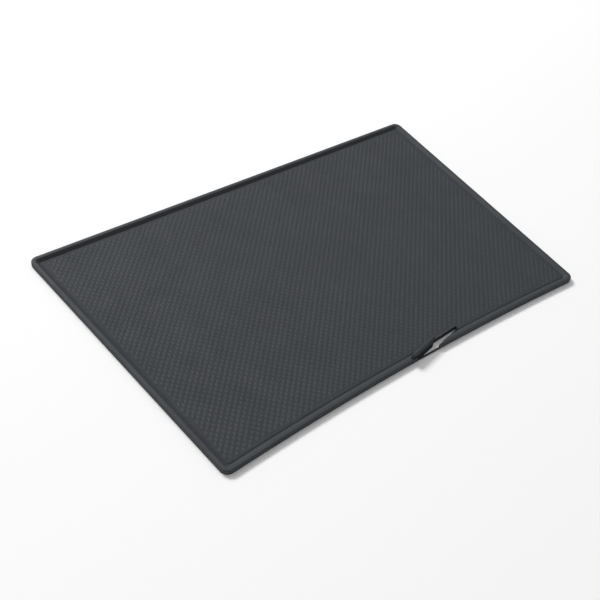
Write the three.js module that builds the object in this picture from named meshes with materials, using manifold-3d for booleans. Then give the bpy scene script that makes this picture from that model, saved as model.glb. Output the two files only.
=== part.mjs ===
// A moulded rubber mat for the tray of a centre console.
// Lengths are in millimetres, +Z is up, +X runs along the back edge and +Y points to the back edge.
// The origin is the middle of the mat's plan on the flat underside.

import * as THREE from 'three';
import { mergeVertices } from 'three/addons/utils/BufferGeometryUtils.js';
import Module from 'manifold-3d';

// Plan of the mat: a shallow trapezoid, the back edge being the longer one.
const backLength = 260;
const frontLength = 237;
const depth = 163;
const frontHollow = 3.75; // how far the middle of the front edge stands in from its ends
const cornerRadius = 4.2;

// Heights above the underside.
const rimHeight = 3;
const gutterHeight = 1.4;
const fieldHeight = 1.6;
const ridgeHeight = 0.3; // above the field

// Section of the rim, measured inwards from the outer wall.
const rimTopWidth = 1.5;
const rimSlopeWidth = 0.85;
const gutterWidth = 2.1; // flat strip between the foot of the rim and the raised field
const rimRound = 0.5;
const underChamfer = 0.3;

// Grip pattern: bumps stand at bumpPitchX along X and bumpPitchY along Y, alternate rows half a pitch on.
// The diagonal rows of bumps are drawn here as unbroken ridges.
const fieldBorder = 0.6; // smooth strip of the field around the pattern
const bumpPitchX = 3.53;
const bumpPitchY = 3.64;
const ridgeFootShare = 0.72; // share of the ridge spacing taken by the foot of a ridge
const ridgeCrestShare = 0.34; // share taken by its flat crest

// Slanting lift slot through the front margin. A slender bar is left in front of it.
// A tab stands up along the left half of its far side. Insets are measured in from the front edge.
const barStart = 0; // X of the bar's left end
const barLength = 15.6;
const barWidth = 0.8;
const barHeight = 1;
const tabStart = -2.6; // X of the tab's left end
const tabEnd = 16.3; // X of its right end
const tabStartInset = 2;
const tabEndInset = 5.8;
const tabThickness = 1;
const tabHeight = 4.8;
const tabRound = 1;
const slotEnd = 32.5; // X of the slot's right end
const slotEndNear = 5; // inset of that end's near corner
const slotEndWidth = 2;
const slotRound = 0.45;

// Fineness of the curves.
const cornerSteps = 6;
const hollowSteps = 20;

const through = 5; // how far cutting bodies run past the faces they cut

const matRubber = new THREE.MeshStandardMaterial({
  name: 'mat_rubber',
  color: 0x3a3c3f,
  roughness: 0.62,
  metalness: 0,
});

const sideSlope = (backLength - frontLength) / 2 / depth;
const rimFoot = rimTopWidth + rimSlopeWidth;
const fieldInset = rimFoot + gutterWidth;

// Corners of the plan, moved inwards by inset: front left, front right, back right, back left.
function planCorners(inset) {
  const sideInset = inset * Math.hypot(1, sideSlope);
  const frontHalf = frontLength / 2 + sideSlope * inset - sideInset;
  const backHalf = backLength / 2 - sideSlope * inset - sideInset;
  return [
    new THREE.Vector2(-frontHalf, inset - depth / 2),
    new THREE.Vector2(frontHalf, inset - depth / 2),
    new THREE.Vector2(backHalf, depth / 2 - inset),
    new THREE.Vector2(-backHalf, depth / 2 - inset),
  ];
}

// A gently bowed edge from one corner to the next; a positive bow swells outwards.
function bowedEdge(from, to, bow) {
  const along = to.clone().sub(from);
  const outward = new THREE.Vector2(along.y, -along.x).normalize();
  return {
    length: along.length(),
    at: (share) =>
      from
        .clone()
        .addScaledVector(along, share)
        .addScaledVector(outward, bow * 4 * share * (1 - share)),
    heading: (share) => along.clone().addScaledVector(outward, bow * 4 * (1 - 2 * share)),
  };
}

// Where a line from a with heading u meets a line from b with heading v.
function crossing(a, u, b, v) {
  const reach = b.clone().sub(a).cross(v) / u.cross(v);
  return a.clone().addScaledVector(u, reach);
}

// Points of a round corner from a to b, both tangents meeting at the knee; a is included and b is not.
function roundCorner(a, knee, b, steps) {
  const turn = knee.clone().sub(a).angleTo(b.clone().sub(knee));
  const pull = Math.cos(turn / 2);
  const points = [];
  for (let i = 0; i < steps; i += 1) {
    const t = i / steps;
    const weights = [(1 - t) ** 2, 2 * pull * t * (1 - t), t ** 2];
    const total = weights[0] + weights[1] + weights[2];
    points.push(
      new THREE.Vector2()
        .addScaledVector(a, weights[0] / total)
        .addScaledVector(knee, weights[1] / total)
        .addScaledVector(b, weights[2] / total),
    );
  }
  return points;
}

// Closed outline of the mat moved inwards by inset, counter-clockwise.
function planOutline(inset) {
  const corners = planCorners(inset);
  const radius = Math.max(cornerRadius - inset, cornerRadius * 0.3);
  const bows = [-frontHollow, 0, 0, 0];
  const steps = [hollowSteps, 1, 1, 1];
  const edges = corners.map((corner, i) => bowedEdge(corner, corners[(i + 1) % 4], bows[i]));
  const points = [];
  edges.forEach((edge, i) => {
    const next = edges[(i + 1) % 4];
    const first = radius / edge.length;
    for (let k = 0; k < steps[i]; k += 1) {
      points.push(edge.at(first + ((1 - 2 * first) * k) / steps[i]));
    }
    const last = 1 - first;
    const nextFirst = radius / next.length;
    const a = edge.at(last);
    const b = next.at(nextFirst);
    const knee = crossing(a, edge.heading(last), b, next.heading(nextFirst));
    points.push(...roundCorner(a, knee, b, cornerSteps));
  });
  return points;
}

// Closed body through a stack of outlines that have the same number of points, bottom ring first.
function ringBody(rings) {
  const count = rings[0].outline.length;
  const positions = rings.flatMap((ring) => ring.outline.flatMap((p) => [p.x, p.y, ring.height]));
  const index = [];
  for (let r = 0; r + 1 < rings.length; r += 1) {
    for (let i = 0; i < count; i += 1) {
      const a = r * count + i;
      const b = r * count + ((i + 1) % count);
      index.push(a, b, b + count, a, b + count, a + count);
    }
  }
  const top = (rings.length - 1) * count;
  for (const [i, j, k] of THREE.ShapeUtils.triangulateShape(rings[0].outline, [])) {
    index.push(i, k, j);
  }
  for (const [i, j, k] of THREE.ShapeUtils.triangulateShape(rings[rings.length - 1].outline, [])) {
    index.push(top + i, top + j, top + k);
  }
  const geometry = new THREE.BufferGeometry();
  geometry.setAttribute('position', new THREE.Float32BufferAttribute(positions, 3));
  geometry.setIndex(index);
  return geometry;
}

// Upright prism over a plan outline.
function prism(outline, bottom, top) {
  return ringBody([
    { outline, height: bottom },
    { outline, height: top },
  ]);
}

// Base, outer wall, rim and the flat gutter floor.
function trayBody() {
  const soft = rimRound * 0.3;
  const section = [
    [underChamfer, 0],
    [0, underChamfer],
    [0, rimHeight - rimRound],
    [soft, rimHeight - soft],
    [rimRound, rimHeight],
    [rimTopWidth - rimRound, rimHeight],
    [rimTopWidth, rimHeight - soft],
    [rimFoot - soft, gutterHeight + soft],
    [rimFoot, gutterHeight],
  ];
  return ringBody(section.map(([inset, height]) => ({ outline: planOutline(inset), height })));
}

// Slab with straight ridges across the whole plan, running up to the right.
function ridgedSlab() {
  const spacing = 1 / Math.hypot(1 / bumpPitchX, 1 / bumpPitchY);
  const angle = Math.atan2(bumpPitchY, bumpPitchX);
  const reach = Math.hypot(backLength, depth);
  const count = 2 * Math.ceil(reach / 2 / spacing);
  const start = (-count / 2) * spacing;
  const foot = (spacing * ridgeFootShare) / 2;
  const crest = (spacing * ridgeCrestShare) / 2;
  const profile = new THREE.Shape();
  profile.moveTo(start, gutterHeight / 2);
  profile.lineTo(-start, gutterHeight / 2);
  for (let i = count - 1; i >= 0; i -= 1) {
    const middle = start + (i + 0.5) * spacing;
    profile.lineTo(middle + foot, fieldHeight);
    profile.lineTo(middle + crest, fieldHeight + ridgeHeight);
    profile.lineTo(middle - crest, fieldHeight + ridgeHeight);
    profile.lineTo(middle - foot, fieldHeight);
  }
  const slab = new THREE.ExtrudeGeometry(profile, { depth: reach, bevelEnabled: false });
  slab.translate(0, 0, -reach / 2);
  slab.rotateX(Math.PI / 2);
  slab.rotateZ(angle - Math.PI / 2);
  return slab;
}

// Point at a given X that lies inset behind the front edge.
function behindFront(x, inset) {
  const edge = -depth / 2 + frontHollow * (1 - ((2 * x) / frontLength) ** 2);
  return new THREE.Vector2(x, edge + inset);
}

// Polygon with every corner rounded by the same small radius.
function softPolygon(points, radius) {
  return points.flatMap((knee, i) => {
    const before = points[(i + points.length - 1) % points.length];
    const after = points[(i + 1) % points.length];
    const a = knee.clone().add(before.clone().sub(knee).setLength(radius));
    const b = knee.clone().add(after.clone().sub(knee).setLength(radius));
    return [...roundCorner(a, knee, b, cornerSteps / 2), b];
  });
}

// Cuts the slot, from the bar in front to the tab and the field behind.
function slotCutter() {
  const outline = softPolygon(
    [
      behindFront(barStart, barWidth),
      behindFront(barStart + barLength, barWidth),
      behindFront(slotEnd, slotEndNear),
      behindFront(slotEnd, slotEndNear + slotEndWidth),
      behindFront(tabEnd, tabEndInset + tabThickness),
      behindFront(tabEnd, tabEndInset),
      behindFront(tabStart, tabStartInset),
    ],
    slotRound,
  );
  return prism(outline, -through, tabHeight + through);
}

// Lowers the front wall in front of the slot, so that only the bar is left there.
function barCutter() {
  const barEnd = barStart + barLength;
  const outline = [
    behindFront(barStart, -through),
    behindFront(barEnd, -through),
    behindFront(barEnd, barWidth + slotRound),
    behindFront(barStart, barWidth + slotRound),
  ];
  return prism(outline, barHeight, tabHeight + through);
}

// Tab with round top corners. It starts inside the slot's outline, and the slot's cut trims its near face.
function liftTab() {
  const start = behindFront(tabStart, tabStartInset);
  const along = behindFront(tabEnd, tabEndInset).sub(start);
  const length = along.length();
  const profile = new THREE.Shape();
  profile.moveTo(0, gutterHeight / 2);
  profile.lineTo(length, gutterHeight / 2);
  profile.absarc(length - tabRound, tabHeight - tabRound, tabRound, 0, Math.PI / 2);
  profile.absarc(tabRound, tabHeight - tabRound, tabRound, Math.PI / 2, Math.PI);
  const tab = new THREE.ExtrudeGeometry(profile, {
    depth: tabThickness + slotRound,
    bevelEnabled: false,
    curveSegments: cornerSteps,
  });
  tab.translate(0, 0, -tabThickness);
  tab.rotateX(Math.PI / 2);
  tab.rotateZ(along.angle());
  tab.translate(start.x, start.y, 0);
  return tab;
}

const wasm = await Module();
wasm.setup();

// Closed three.js geometry as a manifold body.
function solid(geometry) {
  const bare = geometry.clone();
  bare.deleteAttribute('normal');
  bare.deleteAttribute('uv');
  const merged = mergeVertices(bare, 1e-4);
  return new wasm.Manifold(
    new wasm.Mesh({
      numProp: 3,
      vertProperties: new Float32Array(merged.getAttribute('position').array),
      triVerts: new Uint32Array(merged.getIndex().array),
    }),
  );
}

// Manifold body as a three.js geometry with flat faces.
function faceted(body) {
  const mesh = body.getMesh();
  const geometry = new THREE.BufferGeometry();
  geometry.setAttribute('position', new THREE.BufferAttribute(mesh.vertProperties, mesh.numProp));
  geometry.setIndex(new THREE.BufferAttribute(mesh.triVerts, 1));
  const flat = geometry.toNonIndexed();
  flat.computeVertexNormals();
  return flat;
}

const fieldPlate = solid(prism(planOutline(fieldInset), gutterHeight / 2, fieldHeight));
const patternPrism = solid(prism(planOutline(fieldInset + fieldBorder), 0, rimHeight + through));
const pattern = solid(ridgedSlab()).intersect(patternPrism);
const mat = solid(trayBody())
  .add(fieldPlate)
  .add(pattern)
  .add(solid(liftTab()))
  .subtract(solid(slotCutter()))
  .subtract(solid(barCutter()));

const part = new THREE.Group();
const consoleMat = new THREE.Mesh(faceted(mat), matRubber);
consoleMat.name = 'console_mat';
part.add(consoleMat);

export default part;
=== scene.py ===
"""A moulded rubber console mat on a pale studio floor."""

import math
import random

import bmesh
import bpy
from mathutils import Matrix, Vector


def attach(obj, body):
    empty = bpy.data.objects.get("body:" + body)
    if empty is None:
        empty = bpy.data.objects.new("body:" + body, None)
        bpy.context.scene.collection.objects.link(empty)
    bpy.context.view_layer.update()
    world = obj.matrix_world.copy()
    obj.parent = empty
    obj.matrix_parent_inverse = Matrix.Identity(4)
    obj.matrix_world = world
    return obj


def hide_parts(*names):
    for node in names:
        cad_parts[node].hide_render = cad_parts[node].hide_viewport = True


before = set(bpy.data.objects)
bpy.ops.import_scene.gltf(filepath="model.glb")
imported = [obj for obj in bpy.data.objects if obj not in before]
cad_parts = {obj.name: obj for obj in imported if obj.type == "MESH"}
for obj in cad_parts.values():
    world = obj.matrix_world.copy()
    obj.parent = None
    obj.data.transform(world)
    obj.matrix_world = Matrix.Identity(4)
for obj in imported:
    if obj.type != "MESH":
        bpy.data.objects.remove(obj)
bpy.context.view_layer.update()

MM = 0.001

# Sizes in millimetres that the CAD model has too. Insets are measured in from the mat's outline.
BACK_LENGTH = 260.0
FRONT_LENGTH = 237.0
DEPTH = 163.0
FRONT_HOLLOW = 3.75  # how far the middle of the front edge stands in from its ends
CORNER_RADIUS = 4.2
UNDER_CHAMFER = 0.3
RIM_HEIGHT = 3.0
GUTTER_HEIGHT = 1.4
FIELD_HEIGHT = 1.6
FIELD_BORDER = 0.6
BUMP_PITCH_X = 3.53
BUMP_PITCH_Y = 3.64
BAR_START = 0.0
BAR_LENGTH = 15.6
BAR_WIDTH = 0.8
BAR_HEIGHT = 1.0

# The render's own rim section, softer than the CAD model's. It ends at the same edge of the field.
RIM_TOP_WIDTH = 2.2
RIM_SLOPE_WIDTH = 1.6
GUTTER_WIDTH = 0.65
FIELD_STEP_WIDTH = 0.12
FIELD_FLAT_WIDTH = 0.5
UNDER_ROUND = 0.15
RIM_OUTER_ROUND = 0.6
RIM_INNER_ROUND = 0.7
RIM_FOOT_ROUND = 0.4
FIELD_FOOT_ROUND = 0.12
FIELD_TOP_ROUND = 0.14

# Far side of the lift slot: X and inset of its left end, its bend and its right end.
# The tab stands on the stretch up to the bend, and a lip of rim height on the rest.
LIP_START = -3.0
LIP_START_INSET = 0.8
LIP_BEND = 15.9
LIP_BEND_INSET = 4.7
LIP_END = 33.2
LIP_END_INSET = 5.9
LIP_THICKNESS = 1.0
LIP_ROUND = 0.9
LIP_BEVEL = 0.28
TAB_HEIGHT = 6.2
SLOT_TIP_WIDTH = 0.6
SLOT_ROUND = 0.25

# Hollow root at the foot of the tab.
ROOT_HEIGHT = 3.2
ROOT_REACH = 1.1
ROOT_EDGE = 0.25
ROOT_SINK = 0.5  # how far it runs back into the tab
ROOT_SPARE = 0.1  # added to its reach, and all that is left of it where the bar gives no room
ROOT_TAPER = 0.125  # share of its length over which its right end fades out

# Cutting bodies: how far they start in front of the front edge, and their lowest and highest heights.
CUT_OUT = 3.0
CUT_BOTTOM = -5.0
CUT_TOP = 8.0

# Grip bumps. Each level is a ring's share of the oval and of the height.
BUMP_HEIGHT = 0.18
BUMP_HALF_WIDTH = 1.02
BUMP_HALF_LENGTH = 1.42
BUMP_LEAN = math.radians(-13)
BUMP_SIDES = 8
BUMP_LEVELS = ((1.0, -0.08), (0.80, 0.52), (0.44, 0.90))
BORDER_MARGIN = 1.0  # from the middle of a bump to the border of the pattern
SLOT_MARGIN = 2.4  # from the middle of a bump to the slot

# Random differences between bumps, as shares of the size and of the height, and in radians.
SIZE_SPREAD = 0.05
HEIGHT_LOSS = 0.12
HEIGHT_GAIN = 0.04
LEAN_SPREAD = 0.06

# Outline: steps of its side and back edges, and the share of its radius that a corner keeps far inwards.
SIDE_STEPS = 24
BACK_STEPS = 16
LEAST_RADIUS_SHARE = 0.3

SHARP_ANGLE = math.radians(38)

RIM_FOOT = RIM_TOP_WIDTH + RIM_SLOPE_WIDTH
FIELD_INSET = RIM_FOOT + GUTTER_WIDTH
SIDE_SLOPE = (BACK_LENGTH - FRONT_LENGTH) / 2 / DEPTH


# Plan outline


def plan_corners(inset):
    """Corners of the plan moved inwards: front left, front right, back right and back left."""
    side = inset * math.hypot(1, SIDE_SLOPE)
    front = FRONT_LENGTH / 2 + SIDE_SLOPE * inset - side
    back = BACK_LENGTH / 2 - SIDE_SLOPE * inset - side
    low, high = inset - DEPTH / 2, DEPTH / 2 - inset
    return [Vector((-front, low)), Vector((front, low)), Vector((back, high)), Vector((-back, high))]


def edge_point(a, b, bow, t):
    """Point at the share t of an edge from a to b that swells outwards by bow."""
    along = b - a
    outward = Vector((along.y, -along.x)).normalized()
    return a + along * t + outward * (bow * 4 * t * (1 - t))


def edge_heading(a, b, bow, t):
    """Direction of the same edge at the share t."""
    along = b - a
    outward = Vector((along.y, -along.x)).normalized()
    return along + outward * (bow * 4 * (1 - 2 * t))


def cross2(u, v):
    return u.x * v.y - u.y * v.x


def crossing(a, u, b, v):
    """Where a line from a along u meets a line from b along v."""
    return a + u * (cross2(b - a, v) / cross2(u, v))


def round_corner(a, knee, b, steps):
    """Points of a round corner from a to b; a is included and b is not."""
    pull = math.cos((knee - a).angle(b - knee) / 2)
    points = []
    for i in range(steps):
        t = i / steps
        w = ((1 - t) ** 2, 2 * pull * t * (1 - t), t * t)
        points.append((a * w[0] + knee * w[1] + b * w[2]) / sum(w))
    return points


def plan_outline(inset, corner_steps=10, hollow_steps=48):
    """Closed outline of the mat moved inwards by inset, counter-clockwise."""
    corners = plan_corners(inset)
    radius = max(CORNER_RADIUS - inset, CORNER_RADIUS * LEAST_RADIUS_SHARE)
    bows = (-FRONT_HOLLOW, 0, 0, 0)
    steps = (hollow_steps, SIDE_STEPS, BACK_STEPS, SIDE_STEPS)
    points = []
    for i in range(4):
        a, b, c = corners[i], corners[(i + 1) % 4], corners[(i + 2) % 4]
        bow, next_bow = bows[i], bows[(i + 1) % 4]
        first = radius / (b - a).length
        for k in range(steps[i]):
            points.append(edge_point(a, b, bow, first + (1 - 2 * first) * k / steps[i]))
        last = 1 - first
        next_first = radius / (c - b).length
        p = edge_point(a, b, bow, last)
        q = edge_point(b, c, next_bow, next_first)
        knee = crossing(p, edge_heading(a, b, bow, last), q, edge_heading(b, c, next_bow, next_first))
        points += round_corner(p, knee, q, corner_steps)
    return points


def behind_front(x, inset):
    """Point that lies inset behind the hollow front edge."""
    edge = -DEPTH / 2 + FRONT_HOLLOW * (1 - (2 * x / FRONT_LENGTH) ** 2)
    return Vector((x, edge + inset))


def soft_polygon(points, radius, steps=4):
    """Polygon with all its corners rounded by the same small radius."""
    result = []
    for i, knee in enumerate(points):
        a = knee + (points[i - 1] - knee).normalized() * radius
        b = knee + (points[(i + 1) % len(points)] - knee).normalized() * radius
        result += round_corner(a, knee, b, steps) + [b]
    return result


def slot_outline():
    return soft_polygon(
        [
            behind_front(BAR_START, BAR_WIDTH),
            behind_front(BAR_START + BAR_LENGTH, BAR_WIDTH),
            behind_front(LIP_END, LIP_END_INSET - SLOT_TIP_WIDTH),
            behind_front(LIP_END, LIP_END_INSET),
            behind_front(LIP_BEND, LIP_BEND_INSET),
            behind_front(LIP_START, LIP_START_INSET),
        ],
        SLOT_ROUND,
    )


def bar_outline():
    """Plan of the stretch of front wall that is lowered to the bar."""
    end = BAR_START + BAR_LENGTH
    return [
        behind_front(BAR_START, -CUT_OUT),
        behind_front(end, -CUT_OUT),
        behind_front(end, BAR_WIDTH + SLOT_ROUND),
        behind_front(BAR_START, BAR_WIDTH + SLOT_ROUND),
    ]


# Solid bodies


def new_object(name, data):
    obj = bpy.data.objects.new(name, data)
    bpy.context.scene.collection.objects.link(obj)
    return obj


def smooth(mesh):
    mesh.shade_smooth()
    mesh.set_sharp_from_angle(angle=SHARP_ANGLE)


def loft(name, rings):
    """Closed mesh through rings of points in metres, with a face over the first ring and the last."""
    count = len(rings[0])
    faces = [tuple(reversed(range(count)))]
    for r in range(len(rings) - 1):
        for i in range(count):
            a, b = r * count + i, r * count + (i + 1) % count
            faces.append((a, b, b + count, a + count))
    faces.append(tuple(range((len(rings) - 1) * count, len(rings) * count)))
    mesh = bpy.data.meshes.new(name)
    mesh.from_pydata([point for ring in rings for point in ring], [], faces)
    mesh.validate()
    return mesh


def stack(name, outlines):
    """Closed mesh through (outline, height) pairs in millimetres, lowest first."""
    return loft(name, [[(p.x * MM, p.y * MM, z * MM) for p in outline] for outline, z in outlines])


def prism(name, outline, bottom, top):
    return stack(name, [(outline, bottom), (outline, top)])


def rounded_profile(points, steps=4):
    """Section line with its corners rounded: points are (inset, height, radius)."""
    run_share = 0.49  # the most of a run that one corner takes, so that two never meet
    result = []
    for i, (inset, z, radius) in enumerate(points):
        knee = Vector((inset, z))
        if radius == 0 or i in (0, len(points) - 1):
            result.append(knee)
            continue
        before = Vector(points[i - 1][:2])
        after = Vector(points[i + 1][:2])
        turn = (knee - before).angle(after - knee)
        room = min((knee - before).length * run_share, (after - knee).length * run_share)
        reach = min(radius * math.tan(turn / 2), room)
        a = knee + (before - knee).normalized() * reach
        b = knee + (after - knee).normalized() * reach
        result += round_corner(a, knee, b, steps) + [b]
    return result


def mat_body():
    """Base, outer wall, rim, gutter and field, before the slot is cut."""
    section = rounded_profile(
        [
            (UNDER_CHAMFER, 0, 0),
            (0, UNDER_CHAMFER, UNDER_ROUND),
            (0, RIM_HEIGHT, RIM_OUTER_ROUND),
            (RIM_TOP_WIDTH, RIM_HEIGHT, RIM_INNER_ROUND),
            (RIM_FOOT, GUTTER_HEIGHT, RIM_FOOT_ROUND),
            (FIELD_INSET, GUTTER_HEIGHT, FIELD_FOOT_ROUND),
            (FIELD_INSET + FIELD_STEP_WIDTH, FIELD_HEIGHT, FIELD_TOP_ROUND),
            (FIELD_INSET + FIELD_FLAT_WIDTH, FIELD_HEIGHT, 0),
        ]
    )
    return stack("mat_body", [(plan_outline(p.x), p.y) for p in section])


def cut(obj, cutter_mesh):
    cutter = new_object("cutter", cutter_mesh)
    mod = obj.modifiers.new("cut", "BOOLEAN")
    mod.object = cutter
    mod.operation = "DIFFERENCE"
    mod.solver = "EXACT"
    bpy.context.view_layer.update()
    result = bpy.data.meshes.new_from_object(obj.evaluated_get(bpy.context.evaluated_depsgraph_get()))
    obj.modifiers.clear()
    obj.data = result
    bpy.data.objects.remove(cutter)


def upright_strip(name, start, end, height, corner_steps=5):
    """Upright strip along a stretch of the slot's far side, its top corners round and its edges soft."""
    run = end - start
    along, length = run.normalized(), run.length
    back = Vector((-along.y, along.x))
    profile = [Vector((0, GUTTER_HEIGHT / 2)), Vector((length, GUTTER_HEIGHT / 2))]
    for u, inner in ((length, length - LIP_ROUND), (0, LIP_ROUND)):
        side, upper = Vector((u, height - LIP_ROUND)), Vector((inner, height))
        first, last = (side, upper) if u else (upper, side)
        profile += round_corner(first, Vector((u, height)), last, corner_steps) + [last]
    mesh = bmesh.new()
    loops = []
    for depth in (0.0, LIP_THICKNESS):
        points = [start + along * p.x + back * depth for p in profile]
        loops.append([mesh.verts.new((q.x * MM, q.y * MM, p.y * MM)) for q, p in zip(points, profile)])
    near, far = loops
    count = len(profile)
    sides = [mesh.faces.new(near), mesh.faces.new(reversed(far))]
    for i in range(count):
        n = (i + 1) % count
        mesh.faces.new((near[n], near[i], far[i], far[n]))
    rims = [edge for face in sides for edge in face.edges]
    raised = [edge for edge in rims if min(v.co.z for v in edge.verts) > GUTTER_HEIGHT * MM]
    bmesh.ops.bevel(mesh, geom=raised, offset=LIP_BEVEL * MM, segments=3, profile=0.5, affect="EDGES")
    result = bpy.data.meshes.new(name)
    mesh.to_mesh(result)
    mesh.free()
    smooth(result)
    return new_object(name, result)


def tab_root(start, end, stations=24, steps=8):
    """Hollow root that runs out from the tab's foot into the slot, as far as the bar lets it."""
    run = end - start
    out = Vector((run.y, -run.x)).normalized()
    rings = []
    for i in range(stations + 1):
        p = start + run * (i / stations)
        bar = BAR_WIDTH * min(1.0, (p.x - start.x) / (BAR_START - start.x))
        gap = (p - behind_front(p.x, 0)).y - bar
        fade = min(1.0, (1 - i / stations) / ROOT_TAPER)
        reach = min(ROOT_REACH * fade, max(gap, 0.0)) + ROOT_SPARE
        section = [(-ROOT_SINK, 0.0), (reach, 0.0)]
        for k in range(steps + 1):
            t = k / steps
            section.append((reach * (1 - t) ** 2, ROOT_EDGE + (ROOT_HEIGHT - ROOT_EDGE) * t * t))
        section.append((-ROOT_SINK, ROOT_HEIGHT))
        rings.append([(*((p + out * u) * MM), z * MM) for u, z in section])
    mesh = loft("tab_root", rings)
    smooth(mesh)
    return new_object("tab_root", mesh)


mat = new_object("mat_skin", mat_body())
cut(mat, prism("slot_cut", slot_outline(), CUT_BOTTOM, CUT_TOP))
cut(mat, prism("bar_cut", bar_outline(), BAR_HEIGHT, CUT_TOP))
smooth(mat.data)
tab_start = behind_front(LIP_START, LIP_START_INSET)
bend = behind_front(LIP_BEND, LIP_BEND_INSET)
lip_end = behind_front(LIP_END, LIP_END_INSET)
tab = upright_strip("lift_tab", tab_start, bend, TAB_HEIGHT)
lip = upright_strip("slot_lip", bend, lip_end, RIM_HEIGHT)
root = tab_root(tab_start, bend)


# Grip pattern


def signed_distance(p, polygon):
    """Distance from p to a polygon's border, positive inside."""
    best = math.inf
    inside = False
    for i, a in enumerate(polygon):
        b = polygon[(i + 1) % len(polygon)]
        ab = b - a
        t = max(0.0, min(1.0, (p - a).dot(ab) / ab.length_squared))
        best = min(best, (p - a - ab * t).length)
        if (a.y > p.y) != (b.y > p.y) and p.x < a.x + (p.y - a.y) / (b.y - a.y) * ab.x:
            inside = not inside
    return best if inside else -best


def bump_places():
    """Middles of the bumps: alternate rows half a pitch on, clear of the border and of the slot."""
    border = plan_outline(FIELD_INSET + FIELD_BORDER, corner_steps=4, hollow_steps=16)
    slot = slot_outline()
    slot_left = min(q.x for q in slot) - SLOT_MARGIN
    slot_right = max(q.x for q in slot) + SLOT_MARGIN
    slot_back = max(q.y for q in slot) + SLOT_MARGIN
    rows = math.ceil(DEPTH / BUMP_PITCH_Y)
    columns = math.ceil(BACK_LENGTH / BUMP_PITCH_X / 2)
    for row in range(-rows, rows + 1):
        y = row * BUMP_PITCH_Y / 2
        shift = BUMP_PITCH_X / 2 if row % 2 else 0.0
        for column in range(-columns, columns + 1):
            p = Vector((column * BUMP_PITCH_X + shift, y))
            if abs(p.x) > BACK_LENGTH / 2 or abs(p.y) > DEPTH / 2:
                continue
            if signed_distance(p, border) < BORDER_MARGIN:
                continue
            beside_slot = slot_left < p.x < slot_right and p.y < slot_back
            if beside_slot and signed_distance(p, slot) > -SLOT_MARGIN:
                continue
            yield p


def dome_points(p, size, height, turn):
    """Points of one oval dome on the field, ring by ring and the top last."""
    c, s = math.cos(turn), math.sin(turn)
    points = []
    for scale, lift in BUMP_LEVELS:
        for k in range(BUMP_SIDES):
            angle = 2 * math.pi * (k + 0.5) / BUMP_SIDES
            u = BUMP_HALF_WIDTH * scale * size * math.cos(angle)
            v = BUMP_HALF_LENGTH * scale * size * math.sin(angle)
            x, y = p.x + u * c - v * s, p.y + u * s + v * c
            points.append((x * MM, y * MM, (FIELD_HEIGHT + lift * height) * MM))
    points.append((p.x * MM, p.y * MM, (FIELD_HEIGHT + height) * MM))
    return points


def dome_faces(base):
    """Faces of the dome whose first point has the number base."""
    last = base + (len(BUMP_LEVELS) - 1) * BUMP_SIDES
    top = last + BUMP_SIDES
    faces = []
    for k in range(BUMP_SIDES):
        n = (k + 1) % BUMP_SIDES
        for low in range(base, last, BUMP_SIDES):
            high = low + BUMP_SIDES
            faces.append((low + k, low + n, high + n, high + k))
        faces.append((last + k, last + n, top))
    return faces


def grip_bumps():
    """Small oval domes, each a little different in size, height and lean."""
    rng = random.Random(7)
    verts, faces = [], []
    for p in bump_places():
        size = 1 + rng.uniform(-SIZE_SPREAD, SIZE_SPREAD)
        height = BUMP_HEIGHT * (1 + rng.uniform(-HEIGHT_LOSS, HEIGHT_GAIN))
        turn = BUMP_LEAN + rng.uniform(-LEAN_SPREAD, LEAN_SPREAD)
        faces += dome_faces(len(verts))
        verts += dome_points(p, size, height, turn)
    mesh = bpy.data.meshes.new("grip_bumps")
    mesh.from_pydata(verts, [], faces)
    mesh.shade_smooth()
    return mesh


bumps = new_object("grip_bumps", grip_bumps())


# Material

RUBBER_COLOUR = (0.0330, 0.0382, 0.0440, 1)
VALLEY_ROUGHNESS = 0.84
CREST_ROUGHNESS = 0.70
VALLEY_DEPTH = 0.05  # how far under the field the height mask starts, in millimetres; it sets the painted valley shade and the smoother crests
NOISE_LOW = 0.3  # the noise lies mostly between these two values
NOISE_HIGH = 0.7

DUST_COLOUR = (0.13, 0.13, 0.13, 1)
DUST_CELLS = 260.0  # cells in a metre, of which a few hold a speck
DUST_FREE_SHARE = 0.965
DUST_RADIUS = 0.075  # in cells
DUST_STRENGTH = 0.6

GRAIN_HEIGHT = 0.06  # in millimetres
GRAIN_STRENGTH = 0.35


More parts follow.
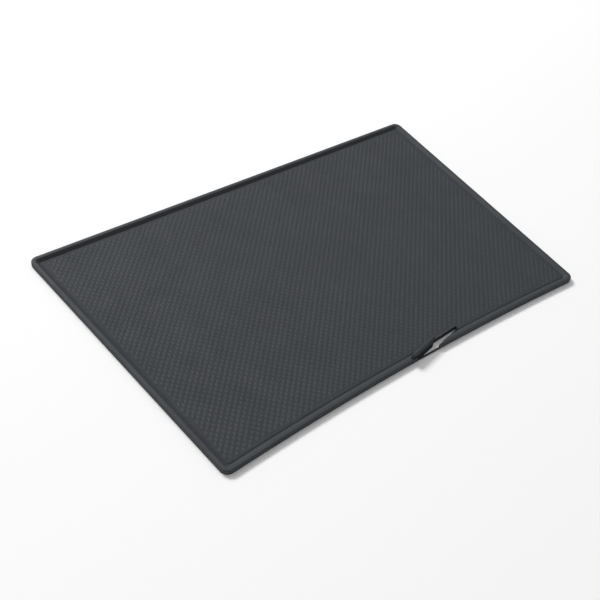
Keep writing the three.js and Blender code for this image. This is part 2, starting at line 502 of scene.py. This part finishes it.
def rubber():
    material = bpy.data.materials.new("moulded_rubber")
    material.use_nodes = True
    nodes, links = material.node_tree.nodes, material.node_tree.links
    shader = nodes["Principled BSDF"]
    shader.inputs["Specular IOR Level"].default_value = 0.5
    place = nodes.new("ShaderNodeTexCoord").outputs["Object"]

    def noise(scale, detail, rough=0.55):
        node = nodes.new("ShaderNodeTexNoise")
        node.inputs["Scale"].default_value = scale
        node.inputs["Detail"].default_value = detail
        node.inputs["Roughness"].default_value = rough
        links.new(place, node.inputs["Vector"])
        return node.outputs["Fac"]

    def span(value, low, high, to_low, to_high):
        node = nodes.new("ShaderNodeMapRange")
        node.inputs["From Min"].default_value = low
        node.inputs["From Max"].default_value = high
        node.inputs["To Min"].default_value = to_low
        node.inputs["To Max"].default_value = to_high
        links.new(value, node.inputs["Value"])
        return node.outputs["Result"]

    def mottle(scale, detail, to_low, to_high):
        return span(noise(scale, detail), NOISE_LOW, NOISE_HIGH, to_low, to_high)

    def math_node(kind, a, b):
        node = nodes.new("ShaderNodeMath")
        node.operation = kind
        for socket, value in zip(node.inputs, (a, b)):
            if isinstance(value, (int, float)):
                socket.default_value = value
            else:
                links.new(value, socket)
        return node.outputs[0]

    # Tone: cloudy over some centimetres and finely mottled, times a painted shade that darkens the
    # valleys between the bumps and lightens the crests.
    split = nodes.new("ShaderNodeSeparateXYZ")
    links.new(place, split.inputs[0])
    valley, crest = (FIELD_HEIGHT - VALLEY_DEPTH) * MM, (FIELD_HEIGHT + BUMP_HEIGHT) * MM
    raised = span(split.outputs["Z"], valley, crest, to_low=0.0, to_high=1.0)
    cloud = mottle(scale=28.0, detail=3.0, to_low=0.93, to_high=1.07)
    fine = mottle(scale=900.0, detail=2.0, to_low=0.94, to_high=1.06)
    # Painted shade and highlight by height: the valleys are darkened and the crests lightened.
    painted_valley_shade = span(raised, 0.0, 1.0, to_low=0.92, to_high=1.05)
    tone_and_valley_shade = math_node("MULTIPLY", math_node("MULTIPLY", cloud, fine), painted_valley_shade)

    # Dust: sparse pale specks.
    cells = nodes.new("ShaderNodeTexVoronoi")
    cells.inputs["Scale"].default_value = DUST_CELLS
    links.new(place, cells.inputs["Vector"])
    pick = nodes.new("ShaderNodeSeparateColor")
    links.new(cells.outputs["Color"], pick.inputs[0])
    chosen = math_node("GREATER_THAN", pick.outputs[0], DUST_FREE_SHARE)
    near = math_node("LESS_THAN", cells.outputs["Distance"], DUST_RADIUS)
    speck = math_node("MULTIPLY", chosen, near)

    # Colour: the rubber's grey times the tone and the painted valley shade, with the specks over it.
    base = nodes.new("ShaderNodeMix")
    base.data_type = "RGBA"
    base.blend_type = "MULTIPLY"
    base.inputs["Factor"].default_value = 1.0
    base.inputs["A"].default_value = RUBBER_COLOUR
    grey = nodes.new("ShaderNodeCombineColor")
    for i in range(3):
        links.new(tone_and_valley_shade, grey.inputs[i])
    links.new(grey.outputs[0], base.inputs["B"])
    dusty = nodes.new("ShaderNodeMix")
    dusty.data_type = "RGBA"
    dusty.inputs["B"].default_value = DUST_COLOUR
    links.new(math_node("MULTIPLY", speck, DUST_STRENGTH), dusty.inputs["Factor"])
    links.new(base.outputs["Result"], dusty.inputs["A"])
    links.new(dusty.outputs["Result"], shader.inputs["Base Color"])

    # Satin skin: the crests are rubbed a little smoother than the valleys.
    rubbed = span(raised, 0.0, 1.0, VALLEY_ROUGHNESS, CREST_ROUGHNESS)
    patch = mottle(scale=60.0, detail=4.0, to_low=-0.05, to_high=0.05)
    links.new(math_node("ADD", rubbed, patch), shader.inputs["Roughness"])

    # Moulding grain.
    grain = nodes.new("ShaderNodeBump")
    grain.inputs["Strength"].default_value = GRAIN_STRENGTH
    grain.inputs["Distance"].default_value = GRAIN_HEIGHT * MM
    links.new(noise(scale=3200.0, detail=3.0, rough=0.6), grain.inputs["Height"])
    links.new(grain.outputs["Normal"], shader.inputs["Normal"])
    return material


skin = rubber()
for piece in (mat, tab, lip, root, bumps):
    piece.data.materials.clear()
    piece.data.materials.append(skin)
    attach(piece, "root")
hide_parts("console_mat")


# Studio, in metres unless a line says otherwise

WHITE = (1, 1, 1, 1)
FLOOR_REACH = 6.0
FLOOR_DROP = 0.00002  # keeps the floor's face apart from the mat's underside
FLOOR_GLOW = 0.05
WORLD_LEVEL = 0.29

# The camera's place and target are in millimetres, its focal length in pixels of the photograph.
CAMERA_PLACE = (-257.36, -247.00, 330.63)
CAMERA_TARGET = (-24.27, -12.92, 0.0)
CAMERA_ROLL = math.radians(9.9)
FOCAL_PIXELS = 894.0
IMAGE_PIXELS = 600.0
SENSOR_MM = 36.0


def studio_floor():
    """Matt white floor that glows a little to the camera and in reflections."""
    mesh = bpy.data.meshes.new("floor")
    corners = [(-FLOOR_REACH, -FLOOR_REACH, 0), (FLOOR_REACH, -FLOOR_REACH, 0)]
    corners += [(FLOOR_REACH, FLOOR_REACH, 0), (-FLOOR_REACH, FLOOR_REACH, 0)]
    mesh.from_pydata(corners, [], [(0, 1, 2, 3)])
    floor = new_object("floor", mesh)
    floor.location.z = -FLOOR_DROP
    material = bpy.data.materials.new("floor_white")
    material.use_nodes = True
    nodes, links = material.node_tree.nodes, material.node_tree.links
    nodes.clear()
    out = nodes.new("ShaderNodeOutputMaterial")
    matt = nodes.new("ShaderNodeBsdfDiffuse")
    matt.inputs["Color"].default_value = WHITE
    glow = nodes.new("ShaderNodeEmission")
    glow.inputs["Color"].default_value = WHITE
    rays = nodes.new("ShaderNodeLightPath")
    seen = nodes.new("ShaderNodeMath")
    seen.operation = "MAXIMUM"
    links.new(rays.outputs["Is Camera Ray"], seen.inputs[0])
    links.new(rays.outputs["Is Glossy Ray"], seen.inputs[1])
    level = nodes.new("ShaderNodeMath")
    level.operation = "MULTIPLY"
    level.inputs[1].default_value = FLOOR_GLOW
    links.new(seen.outputs[0], level.inputs[0])
    links.new(level.outputs[0], glow.inputs["Strength"])
    both = nodes.new("ShaderNodeAddShader")
    links.new(matt.outputs[0], both.inputs[0])
    links.new(glow.outputs[0], both.inputs[1])
    links.new(both.outputs[0], out.inputs["Surface"])
    mesh.materials.append(material)


def studio_world():
    """White surroundings, at full strength to the camera and dimmer as light."""
    world = bpy.data.worlds.new("studio")
    bpy.context.scene.world = world
    world.use_nodes = True
    nodes, links = world.node_tree.nodes, world.node_tree.links
    background = nodes["Background"]
    background.inputs["Color"].default_value = WHITE
    rays = nodes.new("ShaderNodeLightPath")
    strength = nodes.new("ShaderNodeMapRange")
    strength.inputs["To Min"].default_value = WORLD_LEVEL
    strength.inputs["To Max"].default_value = 1.0
    links.new(rays.outputs["Is Camera Ray"], strength.inputs["Value"])
    links.new(strength.outputs["Result"], background.inputs["Strength"])


def aim(obj, target, roll=0.0):
    turn = (Vector(target) - obj.location).to_track_quat("-Z", "Y")
    obj.rotation_mode = "QUATERNION"
    obj.rotation_quaternion = turn @ Matrix.Rotation(roll, 3, "Z").to_quaternion()


def softbox(name, location, size, power):
    """Flat rectangular light aimed at the middle of the mat."""
    data = bpy.data.lights.new(name, "AREA")
    data.shape = "RECTANGLE"
    data.size, data.size_y = size
    data.energy = power
    lamp = new_object(name, data)
    lamp.location = location
    aim(lamp, (0, 0, 0))


studio_floor()
studio_world()
softbox("back", location=(-0.34, 2.32, 2.04), size=(1.2, 0.7), power=74.0)
softbox("fill", location=(0.20, 2.00, 2.80), size=(3.6, 1.8), power=13.0)
softbox("top", location=(0.40, 0.60, 3.20), size=(2.4, 2.4), power=9.0)

camera = new_object("camera", bpy.data.cameras.new("camera"))
camera.data.sensor_width = SENSOR_MM
camera.data.lens = SENSOR_MM * FOCAL_PIXELS / IMAGE_PIXELS
camera.data.clip_start = 0.01
camera.location = Vector(CAMERA_PLACE) * MM
aim(camera, Vector(CAMERA_TARGET) * MM, CAMERA_ROLL)
bpy.context.scene.camera = camera

bpy.context.scene.view_settings.view_transform = "Standard"
